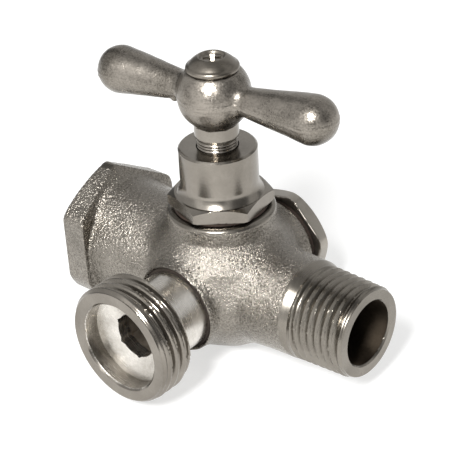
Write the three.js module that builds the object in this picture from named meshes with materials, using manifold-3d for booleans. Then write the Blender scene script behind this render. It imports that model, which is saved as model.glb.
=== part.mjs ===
// Hose bib of the in-line tee pattern: a female hex inlet and a male pipe outlet on one run, a hose
// nipple at the front, an access plug at the back, and a compression spindle with a lever handle.
// Millimetres. The origin is where the run, the hose outlet and the spindle centre lines cross.
// +X to the male pipe end, -X to the hex inlet, -Y to the hose outlet, +Z up the spindle.
import * as THREE from "three";
import { mergeVertices } from "three/addons/utils/BufferGeometryUtils.js";
import Module from "manifold-3d";

const wasm = await Module();
wasm.setup();

const SEGMENTS = 32; // sides of every turned surface
const GAP = 0.1; // clearance between pieces that touch

// Body casting
const CORE_R = 14.8;
const BOSS_R = 12.0;
const BOSS_TOP = 18.4;
const BOSS_RIM_Z = 13.6; // the boss is a plain cylinder above this
const ARM_ROOT = 8.0; // the boss and the two side ports flare out to here, inside the core
const BOSS_ROOT_R = 14.2;
const CHAMFER = 0.8;
const CHAMBER_R = 7.6;
const CHAMBER_FLOOR = 5.0;
const SEAT_HOLE_R = 4.6;
const SEAT_LIP_R = 5.8;
const SEAT_TOP = 6.0;
const RUN_R = 5.0;
const RUN_Z = -2.6;

// Female hex inlet, 1/2 inch pipe thread
const INLET_X = -35.5;
const INLET_FLATS = 30.1;
const INLET_ROUND_R = 16.2; // the hexagon's corners are rounded to this radius
const INLET_RISE = 0.8; // the cast hexagon sits this much above the run
const INLET_BAND_X = -29.0; // where the hexagon's flats end
const INLET_DOME_R = 14.5; // the bell behind the hexagon
const INLET_DOME_RISE = 0.35;
const INLET_NECK_R = 12.6;
const INLET_NECK_X = -6.0;
const SOCKET_R = 9.4;
const SOCKET_DEPTH = 15.0;
const SOCKET_LEAD_IN = 1.8;
const SOCKET_THREAD_DEPTH = 1.0;

// Male pipe end, 1/2 inch pipe thread, 14 threads to the inch, taper 1 in 16
const MALE_X = 39.4;
const MALE_RELIEF_X = 24.6; // a smooth cone is turned from here to the start of the thread
const MALE_THREAD_X = 25.6;
const MALE_RELIEF_R = 10.45;
const MALE_BORE_R = 7.25;
const MALE_CREST_R = 10.15; // at the small end
const PIPE_PITCH = 25.4 / 14;
const PIPE_THREAD_DEPTH = 1.1;
const PIPE_TAPER = 1 / 32; // radius gained for each millimetre towards the body
const MALE_ARM_R = 10.9;
const MALE_ARM_ROOT_R = 13.0;

// Hose nipple, 3/4 inch garden hose thread, 11.5 threads to the inch
const HOSE_Y = -34.9;
const HOSE_CREST_R = 13.45;
const HOSE_PITCH = 25.4 / 11.5;
const HOSE_THREAD_DEPTH = 1.3;
const HOSE_THREAD_Y = -26.8; // where the threaded head ends
const HOSE_MOUTH_R = 9.9;
const HOSE_FLOOR_Y = -31.0;
const HOSE_NECK_R = 8.9;
const HOSE_PORT_Y = -17.1;
const HOSE_PORT_R = 9.65;
const HOSE_PORT_DEPTH = 2.6;
const HOSE_ARM_R = 10.2;
const HOSE_ARM_ROOT_R = 12.9;
const HOSE_SHANK_R = 8.2;
const HOSE_SHANK_Y = -11.2;
const HOSE_FLOOR_CONE = 1.5; // depth of the coned floor of the mouth
const BROACH_FLATS = 9.5;
const BROACH_DRILL_R = 5.05;

// Rear plug
const REAR_Y = 17.9;
const REAR_R = 10.9;
const REAR_ROOT_R = 13.8;
const PLUG_SHANK_R = 7.0;
const PLUG_SHANK_Y = 11.0;
const PLUG_FLATS = 22.0;
const PLUG_ROUND_R = 12.1;
const PLUG_HEAD_Y = 19.2;
const PLUG_END_Y = 22.8;
const PLUG_TURN = 18; // degrees round the plug's axis

// Bonnet
const BONNET_R = 8.57;
const BONNET_TOP = 32.9;
const BONNET_FLATS = 20.1;
const BONNET_CORNER_R = 11.6;
const BONNET_FLARE_R = 9.6; // the barrel widens to this where it meets the hexagon
const BONNET_FLARE = 2.5; // height of that widening
const BONNET_HEX_LOW = 19.1;
const BONNET_HEX_HIGH = 22.1;
const BONNET_SHANK_R = 9.0;
const BONNET_LOW = 11.2;
const BONNET_TURN = -50.1; // degrees from +X to the middle of one flat
const JOURNAL_R = 4.6;
const THREAD_BORE_R = 6.35;
const THREAD_BORE_TOP = 23.4;
const BONNET_RECESS_R = 7.7; // room for the disc holder when the valve is open
const BONNET_RECESS_TOP = 14.6;

// Spindle and washer, drawn shut
const SPINDLE_LOW = 10.4;
const SPINDLE_THREAD_R = 6.0;
const SPINDLE_THREAD_TOP = 18.1;
const SPINDLE_R = 4.45;
const SPINDLE_SHOULDER = 35.2;
const RING_CUT_ZS = [33.35, 34.05, 34.75]; // three fine grooves between the bonnet and the handle
const SQUARE = 5.6; // across flats of the handle drive
const SPINDLE_TOP = 49.6;
const O_RING_WIDTH = 1.5;
const O_RING_FLOOR_R = 3.3;
const O_RING_ZS = [24.9, 26.9];
const PIN_R = 2.4;
const PIN_TOP = 17.0;
const WASHER_R = 6.6;
const WASHER_TOP = 8.9;
const HOLDER_TOP = 10.2;

// Handle
const HUB_Z = 44.93;
const HUB_R = 7.98;
const SKIRT_R = 4.8;
const SKIRT_LOW = 35.3;
const HANDLE_TURN = 4.8; // degrees from +X
const ARM_ROOT_R = 2.8;
const ARM_ROOT_X = 5.0;
const BULB_R = 5.3;
const BULB_AT = 24.7;
const CAP_SEAT_Z = 50.6;
const CAP_R = 5.7;
const CAP_DOME_R = 6.7;
const CAP_DISH_R = 2.85; // the shallow dish round the cross recess
const CAP_TOP = 53.65;
const CROSS_TURN = 40; // degrees from +X
const SCREW_R = 2.0;

const radians = THREE.MathUtils.degToRad;

function toSolid(geometry) {
  const bare = geometry.clone();
  bare.deleteAttribute("normal");
  bare.deleteAttribute("uv");
  const merged = mergeVertices(bare, 1e-4);
  const corners = merged.index.array;
  const triangles = [];
  for (let i = 0; i < corners.length; i += 3) {
    const [a, b, c] = corners.slice(i, i + 3);
    if (a !== b && b !== c && c !== a) triangles.push(a, b, c);
  }
  const build = (triVerts) =>
    new wasm.Manifold(
      new wasm.Mesh({
        numProp: 3,
        vertProperties: merged.attributes.position.array,
        triVerts: new Uint32Array(triVerts),
      }),
    );
  const made = build(triangles);
  return made.volume() < 0 ? build(triangles.reverse()) : made;
}

// Turns a closed profile of [radius, distance] points round the x, y or z axis.
function turned(axis, profile, sides = SEGMENTS, turn = 0) {
  const points = profile.map(([r, d]) => new THREE.Vector2(r, d));
  const geometry = new THREE.LatheGeometry(points, sides);
  geometry.rotateY(radians(turn));
  if (axis === "x") geometry.rotateZ(-Math.PI / 2);
  if (axis === "z") geometry.rotateX(Math.PI / 2);
  return toSolid(geometry);
}

// A round bar, or a ring when it is given an inner radius.
function bar(axis, radius, from, to, inner = 0) {
  return turned(axis, [
    [inner, from],
    [radius, from],
    [radius, to],
    [inner, to],
    ...(inner ? [[inner, from]] : []),
  ]);
}

function hexBar(axis, flats, from, to, turn = 0) {
  const r = flats / Math.sqrt(3);
  const profile = [
    [0, from],
    [r, from],
    [r, to],
    [0, to],
  ];
  return turned(axis, profile, 6, turn);
}

// A curved profile from one [radius, distance] to another, level at its first point.
function flare([r0, d0], [r1, d1], power = 2, steps = 5) {
  return Array.from({ length: steps + 1 }, (_, i) => {
    const t = i / steps;
    return [r0 + (r1 - r0) * t ** power, d0 + (d1 - d0) * t];
  });
}

// The crests and roots of a thread drawn as rings, from one distance to another.
function threadRidges(from, to, pitch, depth, crestAt) {
  const step = Math.sign(to - from) * pitch;
  const count = Math.floor((to - from) / step);
  const points = [];
  for (let i = 0; i < count; i++) {
    const root = from + i * step;
    points.push([crestAt(root) - depth, root]);
    points.push([crestAt(root), root + step / 2]);
  }
  points.push([crestAt(to) - depth, from + count * step]);
  return points;
}

function arcPoints(centre, radius, fromDegrees, toDegrees, steps) {
  return Array.from({ length: steps + 1 }, (_, i) => {
    const angle = radians(fromDegrees + ((toDegrees - fromDegrees) * i) / steps);
    return [centre[0] + radius * Math.cos(angle), centre[1] + radius * Math.sin(angle)];
  });
}

// A straight round hole between two points.
function drill(radius, from, to) {
  const start = new THREE.Vector3(...from);
  const along = new THREE.Vector3(...to).sub(start);
  const geometry = new THREE.CylinderGeometry(radius, radius, along.length(), SEGMENTS);
  geometry.translate(0, along.length() / 2, 0);
  const upright = new THREE.Vector3(0, 1, 0);
  geometry.applyQuaternion(
    new THREE.Quaternion().setFromUnitVectors(upright, along.clone().normalize()),
  );
  geometry.translate(start.x, start.y, start.z);
  return toSolid(geometry);
}

function ring(radius, tube, z) {
  const geometry = new THREE.TorusGeometry(radius, tube, 8, SEGMENTS);
  geometry.translate(0, 0, z);
  return toSolid(geometry);
}

function joined(...solids) {
  return solids.reduce((a, b) => a.add(b));
}

function cutBy(solid, ...tools) {
  return tools.reduce((a, b) => a.subtract(b), solid);
}

const finishes = {
  castNickel: { color: 0x9a9388, roughness: 0.5, metalness: 1 },
  turnedNickel: { color: 0xb3aca0, roughness: 0.2, metalness: 1 },
  brass: { color: 0xb9974f, roughness: 0.35, metalness: 1 },
  rubber: { color: 0x1c1b1a, roughness: 0.75, metalness: 0 },
  fibre: { color: 0x5a3026, roughness: 0.85, metalness: 0 },
  plastic: { color: 0xd9d6cc, roughness: 0.5, metalness: 0 },
};

const hoseBib = new THREE.Group();

function add(name, finish, solid, parent = hoseBib) {
  const mesh = solid.getMesh();
  const geometry = new THREE.BufferGeometry();
  geometry.setAttribute("position", new THREE.BufferAttribute(mesh.vertProperties, 3));
  geometry.setIndex(new THREE.BufferAttribute(mesh.triVerts, 1));
  geometry.computeVertexNormals();
  const node = new THREE.Mesh(geometry, new THREE.MeshStandardMaterial(finishes[finish]));
  node.name = name;
  parent.add(node);
  return node;
}

// The hexagon at the inlet, with its corners turned down, and the bell that runs from it to the body.
function inletBell() {
  const flatR = INLET_FLATS / 2;
  const cornerX = INLET_BAND_X - (INLET_ROUND_R - flatR);
  const blank = turned("x", [
    [0, INLET_X],
    [INLET_ROUND_R - CHAMFER, INLET_X],
    [INLET_ROUND_R, INLET_X + CHAMFER],
    [INLET_ROUND_R, cornerX],
    [flatR - 2, INLET_BAND_X + 2],
    [0, INLET_BAND_X + 2],
  ]);
  const hexagon = hexBar("x", INLET_FLATS, INLET_X - 1, 0).intersect(blank);
  const domeStart = [INLET_DOME_R, INLET_BAND_X];
  const dome = turned("x", [
    [0, INLET_X + 2],
    [INLET_DOME_R, INLET_X + 2],
    ...flare([INLET_NECK_R, INLET_NECK_X], domeStart, 1.8, 8).reverse(),
    [0, INLET_NECK_X],
  ]);
  const raised = hexagon.translate([0, 0, INLET_RISE]);
  return raised.add(dome.translate([0, 0, INLET_DOME_RISE]));
}

function malePipeEnd() {
  const crestAt = (x) => MALE_CREST_R + (MALE_X - x) * PIPE_TAPER;
  const endR = MALE_CREST_R - PIPE_THREAD_DEPTH / 2;
  const threadStart = MALE_THREAD_X + 0.3;
  return turned("x", [
    [0, 0],
    ...flare([MALE_ARM_R, MALE_RELIEF_X], [MALE_ARM_ROOT_R, 4]).reverse(),
    [MALE_RELIEF_R, MALE_THREAD_X],
    ...threadRidges(threadStart, MALE_X - 0.6, PIPE_PITCH, PIPE_THREAD_DEPTH, crestAt),
    [endR, MALE_X - 0.5],
    [endR, MALE_X],
    [0, MALE_X],
  ]);
}

// A round arm of the casting that ends in a flat port face.
function portArm(axis, radius, port, rootRadius) {
  const root = Math.sign(port) * ARM_ROOT;
  return turned(axis, [
    [0, port],
    ...flare([radius, port], [rootRadius, root]),
    [0, root / 2],
  ]);
}

function boss() {
  return turned("z", [
    [0, BOSS_TOP],
    [BOSS_R - CHAMFER, BOSS_TOP],
    [BOSS_R, BOSS_TOP - CHAMFER],
    ...flare([BOSS_R, BOSS_RIM_Z], [BOSS_ROOT_R, ARM_ROOT]),
    [0, 2],
  ]);
}

function castBody() {
  const core = toSolid(new THREE.SphereGeometry(CORE_R, SEGMENTS, SEGMENTS / 2));
  const hoseArm = portArm("y", HOSE_ARM_R, HOSE_PORT_Y, HOSE_ARM_ROOT_R);
  const rearArm = portArm("y", REAR_R, REAR_Y, REAR_ROOT_R);
  const outside = joined(core, boss(), hoseArm, rearArm, inletBell(), malePipeEnd());
  const socketEnd = INLET_X + SOCKET_DEPTH;
  const threadEnd = socketEnd - 1.5;
  const socketCrest = () => SOCKET_R;
  const socket = turned("x", [
    [0, INLET_X - 1],
    [SOCKET_R + SOCKET_LEAD_IN, INLET_X - 1],
    [SOCKET_R, INLET_X + 1],
    ...threadRidges(INLET_X + 1.3, threadEnd, PIPE_PITCH, -SOCKET_THREAD_DEPTH, socketCrest),
    [SOCKET_R, threadEnd],
    [SOCKET_R, socketEnd],
    [RUN_R - 1, socketEnd + 4],
    [0, socketEnd + 4],
  ]);
  const maleBore = turned("x", [
    [0, 13.5],
    [MALE_BORE_R, 17.5],
    [MALE_BORE_R, MALE_X + 1],
    [0, MALE_X + 1],
  ]);
  const runPassage = drill(RUN_R, [socketEnd + 1, 0, RUN_Z], [18, 0, RUN_Z]);
  const chamber = bar("z", CHAMBER_R, CHAMBER_FLOOR, BONNET_LOW - 0.4);
  const bonnetSocket = bar("z", BONNET_SHANK_R + GAP, BONNET_LOW - 0.5, BOSS_TOP + 1);
  const seatHole = bar("z", SEAT_HOLE_R, RUN_Z, SEAT_TOP + 1);
  const seatLip = bar("z", SEAT_LIP_R, CHAMBER_FLOOR - 1, SEAT_TOP, SEAT_HOLE_R);
  const portFloor = HOSE_PORT_Y + HOSE_PORT_DEPTH;
  const shankFloor = HOSE_SHANK_Y + 0.2;
  const hosePort = turned("y", [
    [0, HOSE_PORT_Y - 1],
    [HOSE_PORT_R, HOSE_PORT_Y - 1],
    [HOSE_PORT_R, portFloor],
    [HOSE_SHANK_R + GAP, portFloor],
    [HOSE_SHANK_R + GAP, shankFloor],
    [BROACH_DRILL_R, shankFloor + 1.8],
    [0, shankFloor + 1.8],
  ]);
  const hoseDuct = drill(3.2, [0, -4, 10], [0, -13, -1]);
  const rearPort = bar("y", PLUG_SHANK_R + GAP, PLUG_SHANK_Y - 0.6, REAR_Y + 1);
  const rearDrilling = drill(2.6, [0, 2, RUN_Z], [0, 12, RUN_Z]);
  const hollows = [
    socket,
    maleBore,
    runPassage,
    chamber,
    bonnetSocket,
    hosePort,
    hoseDuct,
    rearPort,
    rearDrilling,
  ];
  return cutBy(outside, ...hollows).add(seatLip).subtract(seatHole);
}

function bonnet() {
  const flareTop = BONNET_HEX_HIGH + BONNET_FLARE;
  const blank = turned("z", [
    [0, BONNET_LOW],
    [BONNET_SHANK_R - 0.6, BONNET_LOW],
    [BONNET_SHANK_R, BONNET_LOW + 0.6],
    [BONNET_SHANK_R, BONNET_HEX_LOW],
    [BONNET_FLATS / 2, BONNET_HEX_LOW],
    [BONNET_CORNER_R, BONNET_HEX_LOW + 0.6],
    [BONNET_CORNER_R, BONNET_HEX_HIGH - 0.9],
    [BONNET_FLATS / 2, BONNET_HEX_HIGH],
    ...flare([BONNET_R, flareTop], [BONNET_FLARE_R, BONNET_HEX_HIGH], 2, 3).reverse(),
    [BONNET_R, BONNET_TOP - 0.4],
    [BONNET_R - 0.4, BONNET_TOP],
    [0, BONNET_TOP],
  ]);
  const hexLow = BONNET_LOW - 1;
  const hexagon = hexBar("z", BONNET_FLATS, hexLow, BONNET_TOP + 1, BONNET_TURN);
  const bore = turned("z", [
    [0, BONNET_LOW - 1],
    [BONNET_RECESS_R, BONNET_LOW - 1],
    [BONNET_RECESS_R, BONNET_RECESS_TOP],
    [THREAD_BORE_R, BONNET_RECESS_TOP],
    [THREAD_BORE_R, THREAD_BORE_TOP],
    [JOURNAL_R, THREAD_BORE_TOP],
    [JOURNAL_R, BONNET_TOP + 1],
    [0, BONNET_TOP + 1],
  ]);
  return blank.intersect(hexagon).subtract(bore);
}

function hoseNipple() {
  const crestAt = () => HOSE_CREST_R;
  const outside = turned("y", [
    [0, HOSE_Y],
    [HOSE_CREST_R - 1.1, HOSE_Y],
    [HOSE_CREST_R - 0.5, HOSE_Y + 0.5],
    ...threadRidges(HOSE_Y + 0.9, HOSE_THREAD_Y, HOSE_PITCH, HOSE_THREAD_DEPTH, crestAt),
    [HOSE_CREST_R - HOSE_THREAD_DEPTH, HOSE_THREAD_Y],
    [10.2, HOSE_THREAD_Y + 0.4],
    [HOSE_NECK_R, HOSE_THREAD_Y + 1.4],
    [HOSE_NECK_R, HOSE_PORT_Y + 0.4],
    [HOSE_SHANK_R, HOSE_PORT_Y + 0.4],
    [HOSE_SHANK_R, HOSE_SHANK_Y - 0.6],
    [HOSE_SHANK_R - 0.7, HOSE_SHANK_Y],
    [0, HOSE_SHANK_Y],
  ]);
  const mouth = turned("y", [
    [0, HOSE_Y - 1],
    [HOSE_MOUTH_R + 0.5, HOSE_Y - 1],
    [HOSE_MOUTH_R, HOSE_Y + 0.5],
    [HOSE_MOUTH_R, HOSE_FLOOR_Y],
    [BROACH_DRILL_R, HOSE_FLOOR_Y + HOSE_FLOOR_CONE],
    [0, HOSE_FLOOR_Y + HOSE_FLOOR_CONE],
  ]);
  const drilled = bar("y", BROACH_DRILL_R, HOSE_FLOOR_Y, -10);
  const broached = hexBar("y", BROACH_FLATS, HOSE_FLOOR_Y, -17, -5);
  return cutBy(outside, mouth, drilled, broached);
}

function rearPlug() {
  const blank = turned("y", [
    [0, PLUG_SHANK_Y],
    [PLUG_SHANK_R - 0.6, PLUG_SHANK_Y],
    [PLUG_SHANK_R, PLUG_SHANK_Y + 0.6],
    [PLUG_SHANK_R, PLUG_HEAD_Y],
    [PLUG_ROUND_R - 0.8, PLUG_HEAD_Y],
    [PLUG_ROUND_R, PLUG_HEAD_Y + 0.8],
    [PLUG_ROUND_R, PLUG_END_Y - 0.9],
    [PLUG_ROUND_R - 1.4, PLUG_END_Y],
    [0, PLUG_END_Y],
  ]);
  const hexagon = hexBar("y", PLUG_FLATS, PLUG_SHANK_Y - 1, PLUG_END_Y + 1, PLUG_TURN);
  return blank.intersect(hexagon);
}

function spindle() {
  const [lowerRing, upperRing] = O_RING_ZS;
  const half = O_RING_WIDTH / 2 + GAP;
  const groove = (z) => [
    [SPINDLE_R, z - half],
    [O_RING_FLOOR_R - GAP, z - half],
    [O_RING_FLOOR_R - GAP, z + half],
    [SPINDLE_R, z + half],
  ];
  const ringCut = (z) => [
    [SPINDLE_R, z - 0.2],
    [SPINDLE_R - 0.2, z],
    [SPINDLE_R, z + 0.2],
  ];
  const shaft = turned("z", [
    [0, SPINDLE_LOW],
    [SPINDLE_THREAD_R - 0.6, SPINDLE_LOW],
    [SPINDLE_THREAD_R, SPINDLE_LOW + 0.6],
    [SPINDLE_THREAD_R, SPINDLE_THREAD_TOP],
    [SPINDLE_R, SPINDLE_THREAD_TOP],
    ...groove(lowerRing),
    ...groove(upperRing),
    ...RING_CUT_ZS.flatMap(ringCut),
    [SPINDLE_R, SPINDLE_SHOULDER],
    [0, SPINDLE_SHOULDER],
  ]);
  const drive = new THREE.BoxGeometry(SQUARE, SQUARE, SPINDLE_TOP - SPINDLE_SHOULDER + 1);
  drive.translate(0, 0, (SPINDLE_TOP + SPINDLE_SHOULDER - 1) / 2);
  drive.rotateZ(radians(HANDLE_TURN));
  const pinHole = bar("z", PIN_R + GAP, SPINDLE_LOW - 1, PIN_TOP + 0.3);
  const screwHole = bar("z", SCREW_R + GAP, SPINDLE_TOP - 10.5, SPINDLE_TOP + 1);
  return joined(shaft, toSolid(drive)).subtract(pinHole).subtract(screwHole);
}

// The loose plate under the spindle: a cup for the washer and a pin that the spindle turns on.
function discHolder() {
  return turned("z", [
    [0, WASHER_TOP],
    [WASHER_R + GAP, WASHER_TOP],
    [WASHER_R + GAP, WASHER_TOP - 0.9],
    [CHAMBER_R - 0.3, WASHER_TOP - 0.9],
    [CHAMBER_R - 0.3, HOLDER_TOP - 0.3],
    [CHAMBER_R - 0.6, HOLDER_TOP],
    [PIN_R, HOLDER_TOP],
    [PIN_R, PIN_TOP - 0.4],
    [PIN_R - 0.4, PIN_TOP],
    [0, PIN_TOP],
  ]).subtract(bar("z", 1.3, WASHER_TOP - 1, 14));
}

function seatWasher() {
  const flat = SEAT_TOP + 0.03;
  return turned("z", [
    [1.5, flat],
    [WASHER_R - 0.4, flat],
    [WASHER_R, flat + 0.4],
    [WASHER_R, WASHER_TOP - GAP],
    [1.5, WASHER_TOP - GAP],
    [1.5, flat],
  ]);
}

function washerScrew() {
  const under = SEAT_TOP - GAP;
  return turned("z", [
    [0, under - 1.4],
    [2.6, under - 1.4],
    [3.2, under - 0.9],
    [3.2, under],
    [1.2, under],
    [1.2, 13.5],
    [0, 13.5],
  ]);
}

// One arm of the lever: a cone that widens into a round bulb, on the given side of the hub.
function handleArm(side) {
  const taper = Math.asin((BULB_R - ARM_ROOT_R) / (BULB_AT - ARM_ROOT_X));
  const bulb = arcPoints([0, BULB_AT], BULB_R, -THREE.MathUtils.radToDeg(taper), 90, 8);
  const profile = [[0, 0], [ARM_ROOT_R, ARM_ROOT_X], ...bulb.slice(0, -1), [0, BULB_AT + BULB_R]];
  const sided = profile.map(([r, x]) => [r, side * x]);
  return turned("x", sided).translate([0, 0, HUB_Z]);
}

function handle() {
  const hub = turned("z", [
    [0, SKIRT_LOW],
    [SKIRT_R, SKIRT_LOW],
    ...arcPoints([0, HUB_Z], HUB_R, -53, 45, 12),
    [0, CAP_SEAT_Z],
  ]);
  const square = new THREE.BoxGeometry(SQUARE + 2 * GAP, SQUARE + 2 * GAP, 40);
  square.translate(0, 0, HUB_Z);
  const shape = joined(hub, handleArm(1), handleArm(-1));
  return shape.subtract(toSolid(square)).rotate([0, 0, HANDLE_TURN]);
}

// A domed cap with a rolled rim, a shallow dish on top, and a cross recess in the dish.
function handleScrew() {
  const rim = CAP_SEAT_Z + GAP;
  const centre = CAP_TOP - Math.sqrt(CAP_DOME_R ** 2 - CAP_DISH_R ** 2);
  const edgeAngle = THREE.MathUtils.radToDeg(Math.acos((CAP_R - 0.3) / CAP_DOME_R));
  const dishAngle = THREE.MathUtils.radToDeg(Math.acos(CAP_DISH_R / CAP_DOME_R));
  const head = turned("z", [
    [0, SPINDLE_TOP - 9.5],
    [SCREW_R, SPINDLE_TOP - 9.5],
    [SCREW_R, rim],
    [CAP_R - 0.2, rim],
    [CAP_R, rim + 0.3],
    [CAP_R, rim + 0.6],
    ...arcPoints([0, centre], CAP_DOME_R, edgeAngle, dishAngle, 6),
    [CAP_DISH_R - 0.4, CAP_TOP - 0.55],
    [0, CAP_TOP - 0.55],
  ]);
  const slots = [0, 90].map((turn) => {
    const slot = new THREE.BoxGeometry(3.6, 1.0, 3);
    slot.translate(0, 0, CAP_TOP);
    slot.rotateZ(radians(turn + CROSS_TURN));
    return toSolid(slot);
  });
  return cutBy(head, ...slots);
}

add("valve_body", "castNickel", castBody());
add("bonnet", "turnedNickel", bonnet());
add(
  "bonnet_gasket",
  "fibre",
  bar("z", 10.4, BOSS_TOP + GAP, BONNET_HEX_LOW - GAP, BONNET_SHANK_R + GAP),
);
add("hose_nipple", "turnedNickel", hoseNipple());
add(
  "hose_nipple_seal",
  "rubber",
  bar("y", HOSE_PORT_R - GAP, HOSE_PORT_Y + 0.5, HOSE_PORT_Y + 2.5, HOSE_SHANK_R + GAP),
);
add("rear_plug", "turnedNickel", rearPlug());
add(
  "rear_plug_gasket",
  "fibre",
  bar("y", 9.2, REAR_Y + GAP, PLUG_HEAD_Y - GAP, PLUG_SHANK_R + GAP),
);
add("spindle", "turnedNickel", spindle());
["spindle_o_ring_lower", "spindle_o_ring_upper"].forEach((name, i) => {
  const tube = O_RING_WIDTH / 2 - GAP;
  add(name, "rubber", ring(O_RING_FLOOR_R + tube, tube, O_RING_ZS[i]));
});
add(
  "spindle_stop_washer",
  "plastic",
  bar("z", 6.1, SPINDLE_THREAD_TOP + GAP, SPINDLE_THREAD_TOP + 0.9, SPINDLE_R + GAP),
);
add("disc_holder", "brass", discHolder());
add("seat_washer", "rubber", seatWasher());
add("washer_screw", "brass", washerScrew());
add("handle", "castNickel", handle());
add("handle_screw", "turnedNickel", handleScrew());

export default hoseBib;
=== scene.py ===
"""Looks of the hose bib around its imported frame. The shape code works in millimetres in the row frame."""
import math

import bpy
import numpy as np
from mathutils import Matrix, Vector


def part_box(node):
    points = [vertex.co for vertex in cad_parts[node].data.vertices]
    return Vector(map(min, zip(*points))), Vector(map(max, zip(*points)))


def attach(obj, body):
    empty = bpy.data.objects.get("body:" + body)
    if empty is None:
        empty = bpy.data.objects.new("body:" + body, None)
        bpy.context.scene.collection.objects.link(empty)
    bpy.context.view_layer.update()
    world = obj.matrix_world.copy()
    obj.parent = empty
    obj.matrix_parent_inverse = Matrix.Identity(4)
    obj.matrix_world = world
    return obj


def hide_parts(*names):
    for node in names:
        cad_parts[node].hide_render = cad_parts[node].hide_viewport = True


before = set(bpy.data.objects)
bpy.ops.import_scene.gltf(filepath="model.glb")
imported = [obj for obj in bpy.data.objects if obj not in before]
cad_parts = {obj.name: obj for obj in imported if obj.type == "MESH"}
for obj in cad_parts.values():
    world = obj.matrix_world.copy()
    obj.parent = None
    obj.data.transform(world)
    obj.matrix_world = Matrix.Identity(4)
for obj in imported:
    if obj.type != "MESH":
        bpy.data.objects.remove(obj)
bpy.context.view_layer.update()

MM = 0.001
SHARP = math.radians(38)  # edges sharper than this stay crisp
STEP = {  # the mesh step of each piece, in millimetres
    "casting": 0.42,
    "male_end": 0.2,
    "socket": 0.24,
    "bonnet": 0.22,
    "nipple": 0.23,
    "plug": 0.28,
    "handle": 0.22,
    "cap_screw": 0.18,
    "spindle": 0.16,
}


# ---------------------------------------------------------------- sizes, from the frame where it has them
def limits(node):
    """The lowest and highest corner of a CAD node, in millimetres."""
    return [tuple(c / MM for c in corner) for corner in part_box(node)]


(INLET_X, _, _), (MALE_X, REAR_Y, BOSS_TOP) = limits("valve_body")
(_, HOSE_Y, _), (HOSE_CREST_R, HOSE_END_Y, _) = limits("hose_nipple")
(_, _, BONNET_LOW), (_, _, BONNET_TOP) = limits("bonnet")
(_, PLUG_LOW, _), (_, PLUG_END, _) = limits("rear_plug")
(_, _, SPINDLE_LOW), (_, _, SPINDLE_TOP) = limits("spindle")
(_, _, SKIRT_LOW), (_, _, CAP_SEAT) = limits("handle")
(_, _, SCREW_LOW), (_, _, CAP_TOP) = limits("handle_screw")

CORE_R, CAST_LOW = 14.8, -15.5  # the casting's middle ball, and the lowest it may reach
CAST_FLOOR = -16.6  # where the casting's meshing box starts
CAST_RISE = 0.8  # the cast outside sits this much above the machined run at the hexagon
HEX_FLATS, HEX_CROWN_R, HEX_ROUND_R, HEX_BAND_END = 30.1, 17.5, 16.2, INLET_X + 6.5
HEX_SKEW_SPAN, HEX_SWELL_HALF, HEX_LEAN, HEX_LEAN_START = 16.5, 8.4, 0.38, 9
SIN_60, CHAMFER_SLOPE = 0.866, 1.73  # the slope is that of a 30 degree chamfer
DOME_R, DOME_NECK_R, DOME_RISE, DOME_START = 14.15, 12.6, 0.35, -6.0
SOCKET_R, SOCKET_ROOT_R, SOCKET_END = 9.4, 10.4, INLET_X + 15.0
LINER_R = 11.6  # the threaded socket is meshed apart from the casting inside this radius
BOSS_R, BOSS_RIM = 12.0, 14.0  # the boss is round above its rim, and its foot widens below
FOOT_SLOPE, FOOT_REACH = 0.75, 3.4
# Each arm has its root radius at its root, which is a distance from the casting's middle.
HOSE_ARM_R, HOSE_ROOT_R, REAR_ARM_R, REAR_ROOT_R, SIDE_ROOT = 10.2, 12.9, 10.9, 13.8, 8.0
MALE_ARM_R, MALE_ROOT_R, MALE_ROOT, MALE_OFFSET = 10.9, 13.0, 4.0, (-0.2, 0.4)
HOSE_PORT, HOSE_PORT_R, HOSE_PORT_DEPTH = 17.1, 9.65, 2.6
REAR_BORE_R, REAR_FLOOR, REAR_DRILL_R, REAR_DRILL_END = 7.1, 10.4, 2.6, 12.0
MALE_BOX_START, MALE_START, MALE_BORE_R = 20.0, 20.4, 7.25  # the first is for its meshing box
RELIEF_END, RELIEF_R, RELIEF_SLOPE = 25.6, 10.45, 0.45
RUN_R, RUN_DROP, RUN_END = 5.0, 2.6, 18.0  # the waterway, which lies below the run's centre line
CHAMBER_R, CHAMBER_FLOOR, BONNET_SOCKET_R, BONNET_SOCKET_FLOOR = 7.6, 5.0, 9.1, 10.7
SEAT_HOLE_R, SEAT_LIP_R, SEAT_LIP_HALF, SEAT_LIP_RISE = 4.6, 5.2, 0.6, 1.0
DUCT_R, DUCT_Y, DUCT_Z = 3.0, -9.6, 3.0  # the slanted duct from the chamber to the hose port
PIPE_CREST_R, PIPE_PITCH, PIPE_DEPTH = 10.15, 25.4 / 14, 0.72
PIPE_TAPER = 32  # a pipe thread's radius changes by 1 mm over this length
HOSE_PITCH, HOSE_DEPTH, HOSE_THREAD_END = 25.4 / 11.5, 1.1, 26.8
NECK_R, NECK_FLARE, NECK_FLARE_START, SHANK_R = 8.9, 1.4, 25.0, 8.2
MOUTH_R, MOUTH_FLOOR, CONE_SLOPE, CONE_DEPTH = 9.9, 31.0, 3.23, 1.6
KEY_FLATS, KEY_DRILL_R, KEY_END, KEY_TURN = 9.5, 5.05, 17.0, -5.0
BONNET_R, BONNET_FLATS, BONNET_TURN = 8.57, 20.1, -50.1
BONNET_HEX, BONNET_FACE_R, BONNET_SHANK_R = (19.1, 22.1), 11.2, 9.0
BONNET_FLARE, BONNET_FLARE_RISE = 2.5, 1.05
THREAD_BORE_R, THREAD_BORE_TOP, RECESS_R, RECESS_TOP = 6.35, 23.4, 7.7, 14.6
PLUG_FLATS, PLUG_ROUND_R, PLUG_SHANK_R, PLUG_HEAD, PLUG_TURN = 22.0, 12.1, 7.0, 19.2, 18.0
SPINDLE_R, JOURNAL_BORE_R, HANDLE_TURN = 4.45, 4.64, math.radians(4.8)
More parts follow.
